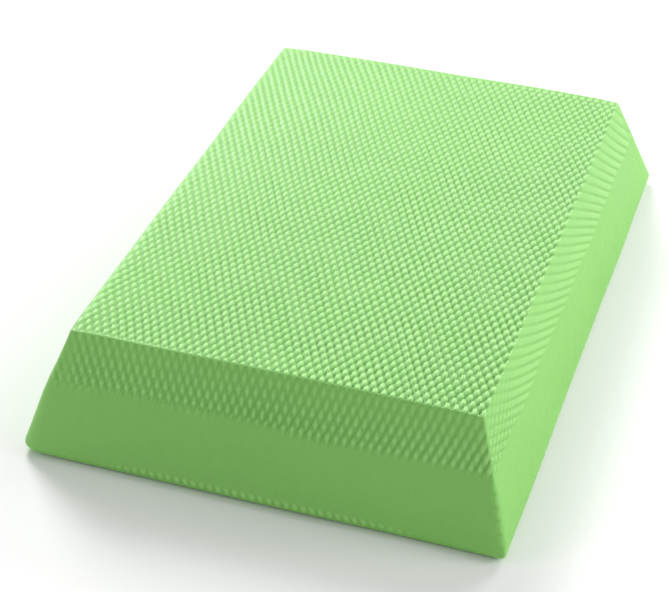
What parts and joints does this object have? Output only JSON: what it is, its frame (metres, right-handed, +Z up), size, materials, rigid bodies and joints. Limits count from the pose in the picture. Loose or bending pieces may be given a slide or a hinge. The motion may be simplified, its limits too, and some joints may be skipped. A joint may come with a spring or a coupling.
{
  "type": "balance pad",
  "caption": "Soft foam pad with four sides that lean in towards a flat embossed top, to stand or kneel on while training balance.",
  "frame": {"origin": "centre of the underside, where the pad rests on the floor", "axes": "+Z up, +Y along the pad's length, +X along its width"},
  "size_m": [0.232, 0.34, 0.06],
  "materials": {
    "foam_cover": "matt closed-cell elastomer foam, embossed with rows of small oval bumps",
    "foam_core": "matt cut face of closed-cell elastomer foam"
  },
  "bodies": {
    "root": {"bottom_cover": "foam_cover", "lower_core_sheet": "foam_core", "middle_core_sheet": "foam_core", "upper_core_sheet": "foam_core", "top_cover": "foam_cover"}
  },
  "joints": []
}
